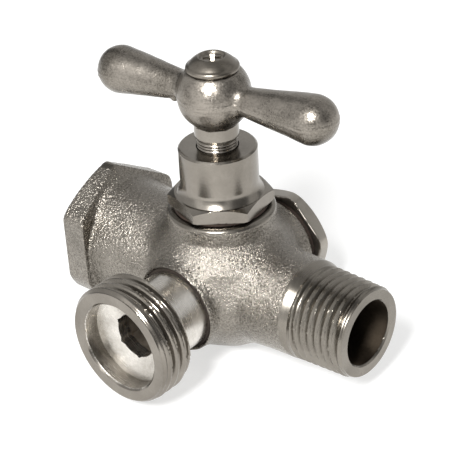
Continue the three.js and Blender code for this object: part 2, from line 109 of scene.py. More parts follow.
SPINDLE_THREAD_R, SPINDLE_THREAD_TOP, SPINDLE_SHOULDER = 6.0, 18.1, 35.2
RING_CUT_ZS, RING_CUT = (33.35, 34.05, 34.75), 0.17  # fine turned grooves under the handle
SEAL_ZS, SEAL_FLOOR_R, SEAL_HALF = (24.9, 26.9), 3.2, 0.85
DRIVE_HALF, DRIVE_HOLE_HALF = 2.8, 2.9  # half the width of the drive square and of its hole in the handle
PIN_HOLE_R, PIN_HOLE_TOP, SCREW_HOLE_R, SCREW_HOLE_DEPTH, SCREW_SHANK_R = 2.5, 17.3, 2.1, 10.5, 2.0
HUB_Z, HUB_R, SKIRT_R = 44.93, 7.98, 4.8
BULB_AT, BULB_R, ARM_AT, ARM_R = 24.7, 5.3, 6.0, 2.8
FLASH_AT, FLASH_R = (-9.4, -1.6, -2.6), 0.75  # a stub of casting flash under one arm
CAP_R, CAP_LIP_R, CAP_DOME_R, CAP_DISH_R, CROSS_TURN = 5.7, 0.45, 6.7, 2.85, math.radians(35)


# ---------------------------------------------------------------- fields: negative inside, in millimetres
def blend_min(a, b, reach):
    """The union of two fields, with a fillet where they are within reach of each other."""
    h = np.maximum(reach - np.abs(a - b), 0.0) / reach
    return np.minimum(a, b) - h * h * reach / 4


def blend_max(a, b, reach):
    """The overlap of two fields, with its edge rounded."""
    return -blend_min(-a, -b, reach)


def ramp(value, start, end):
    """A smooth step from 0 at start to 1 at end."""
    t = np.clip((value - start) / (end - start), 0.0, 1.0)
    return t * t * (3 - 2 * t)


def hexagon(u, v, flats, turn):
    """An endless hexagonal bar. One flat faces the direction turn, in degrees from u."""
    faces = [math.radians(turn + 60 * i) for i in range(3)]
    away = [np.abs(u * math.cos(a) + v * math.sin(a)) for a in faces]
    return np.maximum(np.maximum(away[0], away[1]), away[2]) - flats / 2


def bored(radius, along, hole_r, start, end):
    """A flat-ended round bar or hole."""
    return np.maximum(radius - hole_r, np.maximum(start - along, along - end))


def arm(radius, along, arm_r, port, root_r, root, edge=0.9):
    """A round arm of the casting: arm_r at its port, and wider towards its root."""
    t = np.clip((port - along) / (port - root), 0.0, 1.25)
    side = (radius - arm_r - (root_r - arm_r) * t**2) * 0.93
    return blend_max(side, along - port, edge)


def thread(along, angle, pitch):
    """0 on the crest of a right-hand screw thread and 1 in its root."""
    phase = (along / pitch - angle / (2 * math.pi)) % 1.0
    wave = np.abs(2 * phase - 1)
    return 1 - ramp(wave, 0.12, 0.92)


def pipe_thread(along, angle):
    """A right-hand thread of straight flanks: 0 on its narrow crest and 1 in its wider root."""
    phase = (along / PIPE_PITCH - angle / (2 * math.pi)) % 1.0
    return 1 - np.clip((np.abs(2 * phase - 1) - 0.38) / 0.54, 0.0, 1.0)


# ---------------------------------------------------------------- meshes from fields
def refine(field, start, axis, step, low_value, high_value):
    """Points where the field is zero on grid edges of one axis."""
    t0, t1 = np.zeros(len(start)), np.ones(len(start))
    v0, v1 = low_value.copy(), high_value.copy()
    point = start.copy()
    for _ in range(4):
        t = t0 + (t1 - t0) * v0 / (v0 - v1)
        point[:, axis] = start[:, axis] + t * step
        v = field(*point.T)
        same = (v < 0) == (v0 < 0)
        t0, v0 = np.where(same, t, t0), np.where(same, v, v0)
        t1, v1 = np.where(same, t1, t), np.where(same, v1, v)
        v1 = np.where(v0 == v1, v0 + 1e-12, v1)
    return point


def slope(field, point, reach=0.01):
    """The field's unit gradient at each point."""
    parts = []
    for axis in range(3):
        offset = np.zeros(3)
        offset[axis] = reach
        parts.append(field(*(point + offset).T) - field(*(point - offset).T))
    n = np.stack(parts, 1)
    return n / np.maximum(np.linalg.norm(n, axis=1, keepdims=True), 1e-12)


def contour(field, low, high, step):
    """Dual contouring: one vertex in each cell the surface passes, on the edge or corner it holds."""
    low = np.array(low, float)
    size = np.ceil((np.array(high, float) - low) / step).astype(int) + 1
    ticks = [low[i] + step * np.arange(size[i]) for i in range(3)]
    grid = np.meshgrid(*ticks, indexing="ij", sparse=True)
    value = np.ascontiguousarray(np.broadcast_to(field(*grid), size))
    cells, quads, points = [], [], []
    for axis in range(3):
        b, c = (axis + 1) % 3, (axis + 2) % 3
        lower = tuple(slice(None, -1) if i == axis else slice(1, -1) for i in range(3))
        upper = tuple(slice(1, None) if i == axis else slice(1, -1) for i in range(3))
        v0, v1 = value[lower], value[upper]
        where = np.argwhere((v0 < 0) != (v1 < 0))
        pick = tuple(where.T)
        inside_first = v0[pick] < 0
        first = where + np.array([0 if i == axis else 1 for i in range(3)])
        points.append(refine(field, low + step * first, axis, step, v0[pick], v1[pick]))
        around = []
        for back_b, back_c in ((0, 0), (1, 0), (1, 1), (0, 1)):
            cell = first.copy()
            cell[:, b] -= back_b
            cell[:, c] -= back_c
            around.append(np.ravel_multi_index(cell.T, size))
        around = np.stack(around, 1)
        cells.append(around)
        quads.append(np.where(inside_first[:, None], around, around[:, ::-1]))
    points, cells = np.concatenate(points), np.concatenate(cells)
    normals = slope(field, points)
    used, index = np.unique(cells, return_inverse=True)
    index = index.reshape(-1)
    point4, normal4 = np.repeat(points, 4, axis=0), np.repeat(normals, 4, axis=0)

    def total(weights):
        return np.bincount(index, weights, len(used))

    count = total(None)
    middle = np.stack([total(point4[:, i]) for i in range(3)], 1) / count[:, None]
    reach = np.einsum("ij,ij->i", normal4, point4 - middle[index])
    matrix = np.empty((len(used), 3, 3))
    for i in range(3):
        for j in range(3):
            matrix[:, i, j] = total(normal4[:, i] * normal4[:, j]) + (0.06 if i == j else 0.0)
    right = np.stack([total(normal4[:, i] * reach) for i in range(3)], 1)
    vertex = middle + np.linalg.solve(matrix, right[:, :, None])[:, :, 0]
    corner = low + step * np.stack(np.unravel_index(used, size), 1)
    vertex = np.clip(vertex, corner - 0.1 * step, corner + 1.1 * step)
    faces = np.searchsorted(used, np.concatenate(quads))
    return vertex, faces


def noise(point, size, seed):
    """Smooth noise from -1 to 1 with one knot every size millimetres."""
    p = point / size
    base = np.floor(p).astype(np.int64)
    part = p - base
    part = part * part * (3 - 2 * part)
    total = np.zeros(len(point))
    for corner in np.ndindex(2, 2, 2):
        k = base + corner
        mixed = (k[:, 0] * 73856093) ^ (k[:, 1] * 19349663) ^ (k[:, 2] * 83492791) ^ (seed * 2654435)
        mixed = (mixed ^ (mixed >> 13)) * 1274126177
        knot = ((mixed ^ (mixed >> 16)) & 0xFFFF) / 32767.5 - 1
        weight = np.prod(np.where(corner, part, 1 - part), axis=1)
        total += knot * weight
    return total


def layered(point, layers):
    """The sum of several layers of noise, each given as its height, its size and its seed."""
    total = 0.0
    for height, size, seed in layers:
        total = total + height * noise(point, size, seed)
    return total


def mesh_object(name, vertex, faces, materials, body, replaced, choose=None):
    """A shaded object from points in millimetres and quads, which rides on its body.

    replaced is the CAD node it stands for, and choose gives the material index of each face's centre.
    """
    mesh = bpy.data.meshes.new(name)
    mesh.vertices.add(len(vertex))
    mesh.vertices.foreach_set("co", (vertex * MM).astype(np.float32).ravel())
    mesh.loops.add(faces.size)
    mesh.loops.foreach_set("vertex_index", faces.astype(np.int32).ravel())
    mesh.polygons.add(len(faces))
    mesh.polygons.foreach_set("loop_start", np.arange(len(faces), dtype=np.int32) * faces.shape[1])
    mesh.update(calc_edges=True)
    mesh.validate()
    for material in materials:
        mesh.materials.append(material)
    if choose is not None:
        centre = np.zeros(len(mesh.polygons) * 3, np.float32)
        mesh.polygons.foreach_get("center", centre)
        picked = choose(centre.reshape(-1, 3) / MM).astype(np.int32)
        mesh.polygons.foreach_set("material_index", picked)
    mesh.shade_smooth()
    mesh.set_sharp_from_angle(angle=SHARP)
    made = bpy.data.objects.new(name, mesh)
    bpy.context.scene.collection.objects.link(made)
    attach(made, body)
    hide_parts(replaced)


def vertex_normals(vertex, faces):
    """The unit normal at each point of a quad mesh."""
    a, b, c, d = (vertex[faces[:, i]] for i in range(4))
    face_normal = np.cross(c - a, d - b)
    out = np.zeros_like(vertex)
    for i in range(4):
        for axis in range(3):
            out[:, axis] += np.bincount(faces[:, i], face_normal[:, axis], len(vertex))
    return out / np.maximum(np.linalg.norm(out, axis=1, keepdims=True), 1e-12)


# ---------------------------------------------------------------- materials
class Nodes:
    """Short names for building one material's node tree."""

    def __init__(self, name):
        self.material = bpy.data.materials.new(name)
        self.material.use_nodes = True
        self.tree = self.material.node_tree
        self.shader = self.tree.nodes["Principled BSDF"]
        self.place = self.new("ShaderNodeTexCoord").outputs["Object"]

    def new(self, kind, **settings):
        made = self.tree.nodes.new(kind)
        for key, value in settings.items():
            setattr(made, key, value)
        return made

    def link(self, source, target):
        self.tree.links.new(source, target)

    def noise(self, scale, detail=2.0, roughness=0.5, stretch=None):
        made = self.new("ShaderNodeTexNoise")
        made.inputs["Scale"].default_value = scale
        made.inputs["Detail"].default_value = detail
        made.inputs["Roughness"].default_value = roughness
        source = self.place
        if stretch:
            mapping = self.new("ShaderNodeMapping")
            mapping.inputs["Scale"].default_value = stretch
            self.link(self.place, mapping.inputs["Vector"])
            source = mapping.outputs["Vector"]
        self.link(source, made.inputs["Vector"])
        return made.outputs["Fac"]

    def cells(self, scale):
        made = self.new("ShaderNodeTexVoronoi")
        made.inputs["Scale"].default_value = scale
        self.link(self.place, made.inputs["Vector"])
        return made.outputs["Distance"]

    def spread(self, source, low, high, from_low=0.3, from_high=0.7):
        made = self.new("ShaderNodeMapRange")
        made.inputs["From Min"].default_value = from_low
        made.inputs["From Max"].default_value = from_high
        made.inputs["To Min"].default_value = low
        made.inputs["To Max"].default_value = high
        self.link(source, made.inputs["Value"])
        return made.outputs["Result"]

    def tint(self, source, dark, pale, low=0.3, high=0.7):
        made = self.new("ShaderNodeValToRGB")
        made.color_ramp.elements[0].position = low
        made.color_ramp.elements[0].color = (*dark, 1)
        made.color_ramp.elements[1].position = high
        made.color_ramp.elements[1].color = (*pale, 1)
        self.link(source, made.inputs["Fac"])
        return made.outputs["Color"]

    def add(self, a, b, weight):
        made = self.new("ShaderNodeMath", operation="MULTIPLY_ADD")
        self.link(b, made.inputs[0])
        made.inputs[1].default_value = weight
        self.link(a, made.inputs[2])
        return made.outputs["Value"]

    def bump(self, height, distance, strength=1.0, under=None):
        made = self.new("ShaderNodeBump")
        made.inputs["Strength"].default_value = strength
        made.inputs["Distance"].default_value = distance
        self.link(height, made.inputs["Height"])
        if under is not None:
            self.link(under, made.inputs["Normal"])
        return made.outputs["Normal"]

    def finish(self, color, roughness, normal, metallic=1.0, **plain):
        self.link(color, self.shader.inputs["Base Color"])
        self.link(roughness, self.shader.inputs["Roughness"])
        self.link(normal, self.shader.inputs["Normal"])
        self.shader.inputs["Metallic"].default_value = metallic
        for name, value in plain.items():
            self.shader.inputs[name.replace("_", " ")].default_value = value
        return self.material


PLATE_SHADES = ((0.175, 0.158, 0.136), (0.27, 0.248, 0.217))
TURNED_ABOUT_X, TURNED_ABOUT_Y, TURNED_ABOUT_Z = (5200, 150, 150), (150, 5200, 150), (150, 150, 5200)


def cast_nickel():
    """Dull plate over the fine grain of the sand casting."""
    n = Nodes("cast_nickel_plate")
    cloudy = n.noise(90, 3)
    grain = n.noise(2300, 3, 0.7)
    pits = n.cells(1700)
    height = n.add(grain, pits, 0.6)
    color = n.tint(n.add(grain, cloudy, 0.45), (0.15, 0.136, 0.115), (0.34, 0.313, 0.276), 0.52, 0.93)
    rough = n.spread(n.add(grain, cloudy, 0.4), 0.22, 0.31, 0.5, 0.9)
    return n.finish(color, rough, n.bump(height, 0.00022, 1.0))


def handle_nickel():
    """Semi-gloss plate with a faint orange peel."""
    n = Nodes("handle_nickel_plate")
    cloudy = n.noise(110, 3)
    peel = n.noise(420, 2, 0.5)
    fine = n.noise(2600, 2, 0.6)
    color = n.tint(n.add(cloudy, fine, 0.7), (0.125, 0.112, 0.094), (0.29, 0.264, 0.23), 0.62, 1.08)
    rough = n.spread(n.add(cloudy, fine, 0.7), 0.22, 0.4, 0.6, 1.1)
    under = n.bump(peel, 0.00025, 0.6)
    return n.finish(color, rough, n.bump(fine, 0.00006, 0.7, under))


def turned_nickel(name, stretch, low_rough=0.14, high_rough=0.27, shades=PLATE_SHADES):
    """Bright plate over turning marks. stretch is large along the turned axis and small across it."""
    n = Nodes(name)
    cloudy = n.noise(140, 3)
    marks = n.noise(1.0, 3, 0.6, stretch)
    fine = n.noise(1800, 2)
    color = n.tint(n.add(cloudy, fine, 0.25), *shades, 0.35, 0.85)
    rough = n.spread(n.add(cloudy, marks, 0.6), low_rough, high_rough, 0.5, 1.1)
    under = n.bump(marks, 0.00002, 0.35)
    return n.finish(color, rough, n.bump(fine, 0.00001, 0.4, under))


def plain_metal(name, dark, pale, low_rough, high_rough):
    """Unplated metal."""
    n = Nodes(name)
    cloudy = n.noise(160, 3)
    fine = n.noise(1500, 2)
    color = n.tint(n.add(cloudy, fine, 0.3), dark, pale, 0.4, 0.85)
    return n.finish(color, n.spread(cloudy, low_rough, high_rough), n.bump(fine, 0.00003, 0.5))


def soft_stuff(name, dark, pale, low_rough, high_rough, scale=1200):
    """Rubber, fibre or plastic, with a fine grain of that scale."""
    n = Nodes(name)
    cloudy = n.noise(220, 3)
    fine = n.noise(scale, 3, 0.65)
    color = n.tint(n.add(cloudy, fine, 0.4), dark, pale, 0.4, 1.0)
    rough = n.spread(fine, low_rough, high_rough)
    return n.finish(color, rough, n.bump(fine, 0.00005, 0.6), metallic=0.0, Specular_IOR_Level=0.25)


CAST = cast_nickel()
HANDLE = handle_nickel()
TURNED_Z = turned_nickel("turned_nickel_upright", TURNED_ABOUT_Z)
TURNED_Y = turned_nickel("turned_nickel_outlet", TURNED_ABOUT_Y)
TURNED_X = turned_nickel("turned_nickel_run", TURNED_ABOUT_X, 0.2, 0.34,
                         ((0.16, 0.145, 0.124), (0.25, 0.23, 0.2)))
# A darker copy of the plate for the cap screw: painted shade, standing for a dark reflection on its dome.
TURNED_CAP_PAINTED_SHADE = turned_nickel("turned_nickel_cap_painted_shade", TURNED_ABOUT_Z, 0.26, 0.4,
                           ((0.14, 0.125, 0.104), (0.26, 0.236, 0.204)))
# A much paler copy of the plate inside the nipple's mouth: painted light on its walls and floor.
TURNED_IN_PAINTED_LIGHT = turned_nickel("turned_nickel_mouth_painted_light", TURNED_ABOUT_Y, 0.18, 0.34,
                          ((0.33, 0.306, 0.272), (0.76, 0.73, 0.68)))
# A paler copy of the plate for the rear plug: painted light on its faces.
TURNED_PLUG_PAINTED_LIGHT = turned_nickel("turned_nickel_plug_painted_light", TURNED_ABOUT_Y, 0.28, 0.42,
                            ((0.27, 0.247, 0.215), (0.38, 0.352, 0.312)))
# Unplated brass in the bores and waterways, darkened far below its own tone: painted shade.
BORE_PAINTED_SHADE = plain_metal("drilled_brass_painted_shade", (0.03, 0.023, 0.016), (0.075, 0.059, 0.043), 0.5, 0.7)
# Brass in the nipple's key hole, darker than bare brass: painted shade, paler than the painted shade of the
# bores.
BROACHED_PAINTED_SHADE = plain_metal("broached_brass_painted_shade", (0.16, 0.13, 0.1), (0.38, 0.33, 0.27), 0.35, 0.55)
BRASS = plain_metal("bare_brass", (0.42, 0.29, 0.12), (0.62, 0.46, 0.22), 0.25, 0.4)
RUBBER = soft_stuff("black_rubber", (0.01, 0.007, 0.005), (0.028, 0.021, 0.016), 0.8, 0.95)
FIBRE = soft_stuff("fibre_washer", (0.012, 0.008, 0.006), (0.034, 0.021, 0.015), 0.75, 0.95, 2400)
PLASTIC = soft_stuff("white_plastic", (0.62, 0.6, 0.55), (0.74, 0.72, 0.67), 0.4, 0.55)


# ---------------------------------------------------------------- valve body
def relief(x, y, z):
    """The smooth cone turned into the casting where the male thread runs out."""
    return (np.sqrt(y * y + z * z) - RELIEF_R - (RELIEF_END - x) * RELIEF_SLOPE) * 0.91


def inlet_hexagon(x, y, z):
    """The cast hexagon. Its upper front face is skewed and swells at the inlet, and its back leans."""
    flat = HEX_FLATS / 2
    out, along = z * SIN_60 - y * 0.5, y * SIN_60 + z * 0.5
    t = np.clip((x - INLET_X) / (HEX_BAND_END - INLET_X), 0, 1)
    skew = (0.7 + 0.4 * t) * (0.5 - along / HEX_SKEW_SPAN)
    swell = (1 - t) * np.maximum(1 - (along / HEX_SWELL_HALF) ** 2, 0)
    other = np.maximum(np.abs(z * SIN_60 + y * 0.5) - flat, -out - flat)
    other = np.maximum(np.abs(y) - flat, other)
    low = ramp(z, 10.0, 4.0)
    faces = blend_max(out - flat - skew - swell, other, 0.4 + 1.2 * (1 - t) * low)
    upper = HEX_CROWN_R - 0.6 * low + np.where(y < 0, 1.6 * t * low, -0.05 * y)
    crown = np.sqrt(y * y + z * z) - np.where(z > 0, upper, HEX_ROUND_R)
    back = (x - HEX_BAND_END + HEX_LEAN * np.maximum(z - HEX_LEAN_START, 0)) * 0.93
    return blend_max(blend_max(blend_max(faces, crown, 0.5), back, 0.25), INLET_X - x, 0.7)


def casting_outside(x, y, z):
    """The sand casting without its holes: a ball, the bell, three arms and the boss."""
    core = np.sqrt(x * x + y * y + z * z) - CORE_R
    lift_r = np.sqrt(x * x + y * y)
    boss = arm(lift_r, z, BOSS_R, BOSS_TOP, BOSS_R, 0, edge=1.2)
    foot = np.clip((BOSS_RIM - z) * FOOT_SLOPE, 0, FOOT_REACH)
    boss_root = np.maximum((lift_r - BOSS_R - foot) * 0.8, z - BOSS_RIM)
    side_r = np.sqrt(x * x + z * z)
    hose = np.maximum(arm(side_r, -y, HOSE_ARM_R, HOSE_PORT, HOSE_ROOT_R, SIDE_ROOT), y)
    rear = np.maximum(arm(side_r, y, REAR_ARM_R, REAR_Y, REAR_ROOT_R, SIDE_ROOT), -y)
    male_r = np.sqrt((y - MALE_OFFSET[0]) ** 2 + (z - MALE_OFFSET[1]) ** 2)
    male = arm(male_r, x, MALE_ARM_R, RELIEF_END, MALE_ROOT_R, MALE_ROOT, edge=0.12)
    male = np.maximum(np.maximum(male, -x), relief(x, y, z))
    bell_t = np.clip((DOME_START - x) / (DOME_START - HEX_BAND_END), 0.0, 1.0)
    dome = np.sqrt(y * y + (z - DOME_RISE) ** 2) - DOME_NECK_R - (DOME_R - DOME_NECK_R) * bell_t**1.8
    fillet = 0.5 + 0.22 * np.clip(z - 8, 0, 10)
    bell = blend_min(np.maximum(dome, x), inlet_hexagon(x, y, z - CAST_RISE), fillet)
    bell = np.maximum(bell, INLET_X - x)
    boss = np.maximum(boss, -z)
    boss_root = np.maximum(boss_root, -z)
    whole = blend_min(core, bell, 3.0)
    for part in (male, hose, rear):
        whole = blend_min(whole, part, 2.6)
    whole = blend_min(whole, boss_root, 2.4)
    whole = blend_min(whole, boss, 0.5)
    return blend_max(whole, CAST_LOW - z, 1.0)


def casting(x, y, z):
    """The sand casting with its ports and waterways."""
    run_r = np.sqrt(y * y + z * z)
    lift_r = np.sqrt(x * x + y * y)
    side_r = np.sqrt(x * x + z * z)
    whole = casting_outside(x, y, z)
    socket = bored(run_r, x, LINER_R, INLET_X - 2, SOCKET_END)
    drill_tip = np.maximum(run_r - SOCKET_R + (x - SOCKET_END) * 1.6, SOCKET_END - 0.5 - x)
    socket = np.minimum(socket, drill_tip)
    run = bored(np.sqrt(y * y + (z + RUN_DROP) ** 2), x, RUN_R, SOCKET_END, RUN_END)
    male = bored(run_r, x, MALE_BORE_R + 0.05, 16.5, RELIEF_END + 2)
    chamber = bored(lift_r, z, CHAMBER_R, CHAMBER_FLOOR, 11.0)
    top = bored(lift_r, z, BONNET_SOCKET_R, BONNET_SOCKET_FLOOR, BOSS_TOP + 2)
    seat = bored(lift_r, z, SEAT_HOLE_R, -RUN_DROP, CHAMBER_FLOOR + SEAT_LIP_RISE)
    port = bored(side_r, -y, HOSE_PORT_R, HOSE_PORT - HOSE_PORT_DEPTH, HOSE_PORT + 2)
    lead_in = np.maximum(side_r - HOSE_PORT_R + (HOSE_PORT - 0.55 + y), -y - HOSE_PORT - 1)
    port = np.minimum(port, lead_in)
    shank = bored(side_r, -y, SHANK_R + 0.1, 10.0, HOSE_PORT)
    duct = np.sqrt(x * x + ((z - DUCT_Z) * 0.63 + (y - DUCT_Y) * 0.77) ** 2) - DUCT_R
    duct = np.maximum(duct, np.maximum(-y - 12, np.abs(z - DUCT_Z) - 7))
    rear = bored(side_r, y, REAR_BORE_R, REAR_FLOOR, REAR_Y + 2)
    drill_r = np.sqrt(x * x + (z + RUN_DROP) ** 2)
    drilling = bored(drill_r, y, REAR_DRILL_R, 0.0, REAR_DRILL_END)
    lip = np.abs(lift_r - SEAT_LIP_R) - SEAT_LIP_HALF
    lip = np.maximum(lip, np.abs(z - CHAMBER_FLOOR) - SEAT_LIP_RISE)
    holes = socket
    for hole in (run, male, chamber, top, seat, port, shank, duct, rear, drilling):
        holes = np.minimum(holes, hole)
    return np.minimum(np.maximum(whole, -holes), lip)


def socket_liner(x, y, z):
    """The inlet's threaded wall, from its machined face to the end of the thread."""
    radius = np.sqrt(y * y + z * z)
    cut = ramp(x, SOCKET_END - 1.0, SOCKET_END - 4.0)
    taper = (x - INLET_X) / PIPE_TAPER
    root = SOCKET_R - taper + (SOCKET_ROOT_R - SOCKET_R) * cut * (1 - pipe_thread(x, np.arctan2(z, y)))
    root = np.maximum(root, SOCKET_ROOT_R + 0.2 - (x - INLET_X) * 0.9)
    wall = np.maximum(radius - LINER_R, (root - radius) * 0.8)
    return np.maximum(wall, np.maximum(INLET_X - x, x - SOCKET_END))


def male_end(x, y, z):
    """The tapered male thread and its bore, from inside the casting to its end face."""
    radius = np.sqrt(y * y + z * z)
    cut = ramp(x, MALE_X - 0.4, MALE_X - 1.8) * ramp(x, RELIEF_END, RELIEF_END + 1.4)
    crest = PIPE_CREST_R + (MALE_X - x) / PIPE_TAPER - 0.45 * ramp(x, MALE_X - 1.1, MALE_X - 0.3)
    crest = crest - 0.12 * ramp(x, RELIEF_END + 0.4, RELIEF_END - 0.1)
    side = radius - crest + PIPE_DEPTH * cut * pipe_thread(x, np.arctan2(z, y))
    side = np.maximum(side * 0.8, np.maximum(x - MALE_X, MALE_START - x))
    bore = radius - MALE_BORE_R - np.maximum(x - MALE_X + 0.35, 0)
    return np.maximum(side, -bore)


def build_valve_body():
    """The casting with its cast roughness, its male thread and the threaded wall of its inlet."""
    margin = 1.2
    low = (INLET_X - margin, -HOSE_PORT - margin, CAST_FLOOR - margin)
    high = (RELIEF_END + margin, REAR_Y + margin, BOSS_TOP + margin)
    vertex, faces = contour(casting, low, high, STEP["casting"])
    normal = vertex_normals(vertex, faces)
    outer = np.clip(1 - np.abs(casting_outside(*vertex.T)) / 0.3, 0, 1)
    x, y, z = vertex.T
    cast = ramp(y, -HOSE_PORT + 0.2, -HOSE_PORT + 1.0) * ramp(y, REAR_Y - 0.2, REAR_Y - 1.0)
    cast = cast * ramp(z, BOSS_TOP - 0.6, BOSS_TOP - 1.8) * ramp(x, INLET_X + 0.2, INLET_X + 1.0)
    cast = cast * ramp(np.abs(relief(x, y, z)), 0.1, 0.4)
    swell = layered(vertex, ((0.035, 3.4, 5), (0.02, 1.4, 7), (0.008, 0.85, 9)))
    vertex = vertex + normal * (swell * outer * cast)[:, None]

    def machined(centre):
        inside = casting_outside(*centre.T) < -0.35
        x, y, z = centre.T
        face = (y < -HOSE_PORT + 0.25) | (y > REAR_Y - 0.25) | (np.abs(relief(x, y, z)) < 0.1)
        face = face | (z > BOSS_TOP - 0.9)
        # Inner faces get the bore brass with its painted shade.
        return np.where(inside, 2, np.where(face | (x < INLET_X + 0.12), 1, 0))

    mesh_object("valve_body_casting", vertex, faces, [CAST, TURNED_X, BORE_PAINTED_SHADE], "body",
                "valve_body", machined)
    reach = PIPE_CREST_R + 1.6
    low, high = (MALE_BOX_START, -reach, -reach), (MALE_X + 0.6, reach, reach)
    vertex, faces = contour(male_end, low, high, STEP["male_end"])

    def drilled(centre):
        run_r = np.hypot(centre[:, 1], centre[:, 2])
        # True in the bore, which gets the bore brass with its painted shade.
        return (run_r < MALE_BORE_R + 0.2) & (centre[:, 0] < MALE_X - 0.5)

    mesh_object("male_pipe_thread", vertex, faces, [TURNED_X, BORE_PAINTED_SHADE], "body",
                "valve_body", drilled)
    reach = LINER_R + 0.6
    low, high = (INLET_X - 0.6, -reach, -reach), (SOCKET_END + 0.6, reach, reach)
    vertex, faces = contour(socket_liner, low, high, STEP["socket"])
    mesh_object("inlet_thread", vertex, faces, [TURNED_X], "body", "valve_body")


# ---------------------------------------------------------------- bonnet, nipple, plug and seals
def bonnet(x, y, z):
    """The bonnet: a barrel flaring on to its nut, a shank below, and the stepped bore of the spindle."""
    radius = np.sqrt(x * x + y * y)
    low, high = BONNET_HEX
    flare = np.clip((high + BONNET_FLARE - z) / BONNET_FLARE, 0, 1.1)
    side = BONNET_R + BONNET_FLARE_RISE * flare**2
    barrel = np.maximum((radius - side) * 0.8, np.maximum(low - z, z - BONNET_TOP))
    barrel = np.maximum(barrel, (radius - BONNET_R + z - BONNET_TOP + 0.4) * 0.707)
    nut = np.maximum(hexagon(x, y, BONNET_FLATS, BONNET_TURN), np.maximum(low - z, z - high))
    nut = np.maximum(nut, (radius - BONNET_FLATS / 2 + (z - high) * CHAMFER_SLOPE) * 0.5)
    nut = np.maximum(nut, (radius - BONNET_FACE_R - (z - low) * CHAMFER_SLOPE) * 0.5)
    shank = bored(radius, z, BONNET_SHANK_R, BONNET_LOW, low + 0.5)
    whole = np.minimum(np.minimum(barrel, nut), shank)
    bore = bored(radius, z, JOURNAL_BORE_R, BONNET_LOW - 1, BONNET_TOP + 1)
    bore = np.minimum(bore, bored(radius, z, THREAD_BORE_R, BONNET_LOW - 1, THREAD_BORE_TOP))
    bore = np.minimum(bore, bored(radius, z, RECESS_R, BONNET_LOW - 1, RECESS_TOP))
    return np.maximum(whole, -bore)


def nipple(x, y, z):
    """The hose nipple: a threaded head, a neck, a shank, a wide mouth and the hexagonal key hole."""
    radius, along = np.sqrt(x * x + z * z), -y
    face = -HOSE_Y
    cut = ramp(along, face - 0.5, face - 1.7)
    crest = HOSE_CREST_R - 0.75 * ramp(along, face - 1.0, face - 0.1)
    groove = HOSE_DEPTH * cut * thread(along, np.arctan2(z, x), HOSE_PITCH)
    ends = np.maximum(along - face, HOSE_THREAD_END - along)
    head = np.maximum((radius - crest + groove) * 0.8, ends)
    back = (radius - HOSE_CREST_R + 0.5 - (along - HOSE_THREAD_END) * 2.0) * 0.45
    head = np.maximum(head, back)
    neck = bored(radius, along, NECK_R, HOSE_PORT - 0.4, HOSE_THREAD_END + 1)
    flare = np.clip((along - HOSE_THREAD_END + NECK_FLARE) / NECK_FLARE, 0, 1.2)
    root = (radius - NECK_R - 1.2 * flare**2) * 0.75
    root = np.maximum(root, np.maximum(NECK_FLARE_START - along, along - HOSE_THREAD_END - 1))
    neck = np.minimum(neck, root)
    shank = bored(radius, along, SHANK_R, -HOSE_END_Y, HOSE_PORT)
    whole = np.minimum(np.minimum(head, neck), shank)
    mouth = bored(radius, along, MOUTH_R, MOUTH_FLOOR, face + 1)
    mouth = np.minimum(mouth, (radius - MOUTH_R - (along - face + 0.45)) * 0.707)
    cone = (radius - MOUTH_R + (MOUTH_FLOOR - along) * CONE_SLOPE) * 0.3
    cone = np.maximum(np.maximum(cone, along - MOUTH_FLOOR), MOUTH_FLOOR - CONE_DEPTH - along)
    drilled = radius - KEY_DRILL_R
    key = np.maximum(hexagon(x, z, KEY_FLATS, 60 - KEY_TURN), KEY_END - along)
    holes = np.minimum(np.minimum(mouth, cone), np.minimum(drilled, key))
    return np.maximum(whole, -np.maximum(holes, along - face - 1))


def plug(x, y, z):
    """The rear plug: a hexagonal head with its corners turned off, and a shank."""
    radius = np.sqrt(x * x + z * z)
    head = np.maximum(radius - PLUG_ROUND_R, np.maximum(PLUG_HEAD - y, y - PLUG_END))
    head = blend_max(head, hexagon(x, z, PLUG_FLATS, 90 - PLUG_TURN + 30), 0.4)
    head = np.maximum(head, (radius - PLUG_ROUND_R + 1.5 + (y - PLUG_END) * 1.5) * 0.55)
    head = np.maximum(head, (radius - PLUG_ROUND_R + 0.2 - (y - PLUG_HEAD) * 1.5) * 0.55)
    shank = bored(radius, y, PLUG_SHANK_R, PLUG_LOW, PLUG_HEAD + 0.5)
    return np.minimum(head, shank)


def spindle(x, y, z):
    """The spindle: a thread collar, a journal with seal grooves and fine rings, and a drive square."""
    radius = np.sqrt(x * x + y * y)
    body_r = SPINDLE_R + np.zeros_like(z)
    for ring_z in RING_CUT_ZS:
        body_r = body_r - RING_CUT * np.exp(-(((z - ring_z) / RING_CUT) ** 2))
    shaft = np.maximum(radius - body_r, np.maximum(18.0 - z, z - SPINDLE_SHOULDER))
    for ring_z in SEAL_ZS:
        shaft = np.maximum(shaft, np.minimum(SEAL_HALF - np.abs(z - ring_z), radius - SEAL_FLOOR_R))
    screw = np.maximum(radius - SPINDLE_THREAD_R, np.maximum(SPINDLE_LOW - z, z - SPINDLE_THREAD_TOP))
    c, s = math.cos(HANDLE_TURN), math.sin(HANDLE_TURN)
    u, v = x * c + y * s, y * c - x * s
    square = np.maximum(np.abs(u), np.abs(v)) - DRIVE_HALF
    square = np.maximum(square, np.maximum(34.0 - z, z - SPINDLE_TOP))
    whole = np.minimum(np.minimum(shaft, screw), square)
    pin_hole = bored(radius, z, PIN_HOLE_R, SPINDLE_LOW - 1, PIN_HOLE_TOP)
    screw_hole = bored(radius, z, SCREW_HOLE_R, SPINDLE_TOP - SCREW_HOLE_DEPTH, 60)
    return np.maximum(whole, -np.minimum(pin_hole, screw_hole))


